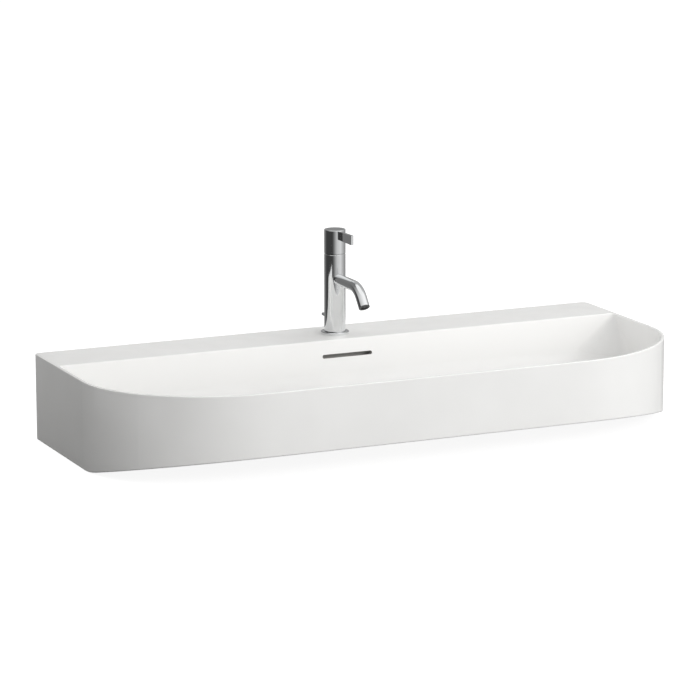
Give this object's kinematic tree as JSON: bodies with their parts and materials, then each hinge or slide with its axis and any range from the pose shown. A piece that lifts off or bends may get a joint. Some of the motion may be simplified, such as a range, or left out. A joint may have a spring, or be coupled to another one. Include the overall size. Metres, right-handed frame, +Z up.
{
  "type": "washbasin with mixer tap",
  "caption": "Wide D-shaped white ceramic washbasin with a rear tap ledge, overflow slot, single-lever chrome mixer with bent spout, and a pop-up waste worked by a rear pull pin.",
  "frame": {"origin": "middle of the basin's footprint, on the plane of its flat underside", "axes": "+X to the user's right along the width, +Y to the rear wall, +Z up"},
  "size_m": [1, 0.42, 0.3132],
  "materials": {
    "white_glaze": "gloss white glaze",
    "chrome_plate": "polished chrome plate",
    "bare_brass": "turned bare brass",
    "copper_pipe": "drawn copper pipe",
    "black_rubber": "moulded black rubber",
    "zinc_steel": "zinc-plated steel",
    "black_plastic": "moulded black plastic",
    "white_plastic": "moulded white plastic",
    "disc_ceramic": "lapped alumina"
  },
  "bodies": {
    "root": {"basin_body": "white_glaze", "waste_body": "chrome_plate", "waste_flange_gasket": "black_rubber", "waste_under_gasket": "black_rubber", "waste_under_washer": "white_plastic", "waste_lock_nut": "bare_brass", "pivot_port_nut": "chrome_plate", "pivot_port_seat": "white_plastic", "tap_body": "chrome_plate", "tap_base_flange": "chrome_plate", "tap_base_gasket": "black_rubber", "tap_stud": "bare_brass", "tap_horseshoe_rubber": "black_rubber", "tap_horseshoe_plate": "zinc_steel", "tap_clamp_nut": "bare_brass", "hot_supply_tail": "copper_pipe", "cold_supply_tail": "copper_pipe", "supply_tail_seals": "black_rubber", "spout_tube": "chrome_plate", "aerator_shell": "black_plastic", "aerator_insert": "black_plastic", "aerator_seal": "black_rubber", "cartridge_gasket": "black_rubber", "cartridge_fixed_disc": "disc_ceramic", "cartridge_housing": "white_plastic", "cartridge_nut": "bare_brass", "handle_glide_ring": "chrome_plate"},
    "handle": {"handle_cap": "chrome_plate", "lever_blade": "chrome_plate", "handle_grub_screw": "zinc_steel", "cartridge_spindle": "bare_brass", "cartridge_moving_disc": "disc_ceramic"},
    "pull": {"popup_pin": "chrome_plate", "pull_rod": "zinc_steel", "strap_clamp": "bare_brass", "link_strap": "zinc_steel", "strap_screw": "bare_brass"},
    "pivot_lever": {"pivot_rod": "zinc_steel", "pivot_ball": "white_plastic"},
    "plug": {"plug_cap": "chrome_plate", "plug_seal": "black_rubber", "plug_stem": "bare_brass", "plug_stem_nut": "bare_brass"}
  },
  "joints": [
    {"name": "handle_turn", "type": "hinge", "parent": "root", "child": "handle", "pos_m": [0, 0.15, 0.29], "axis": [0, 0, 1], "range_deg": [-100, 0]},
    {"name": "popup_pull", "type": "slide", "parent": "root", "child": "pull", "axis": [0, 0, 1], "range_m": [0, 0.03]},
    {"name": "rod_pivot", "type": "hinge", "parent": "root", "child": "pivot_lever", "pos_m": [0, -0.015, 0.021], "axis": [1, 0, 0], "range_deg": [0, 9.6]},
    {"name": "plug_drop", "type": "slide", "parent": "root", "child": "plug", "axis": [0, 0, 1], "range_m": [-0.0042, 0]}
  ],
  "couplings": [
    {"joint": "rod_pivot", "follows": "popup_pull", "rad_per_m": 5.5325},
    {"joint": "plug_drop", "follows": "popup_pull", "ratio": -0.13831}
  ]
}
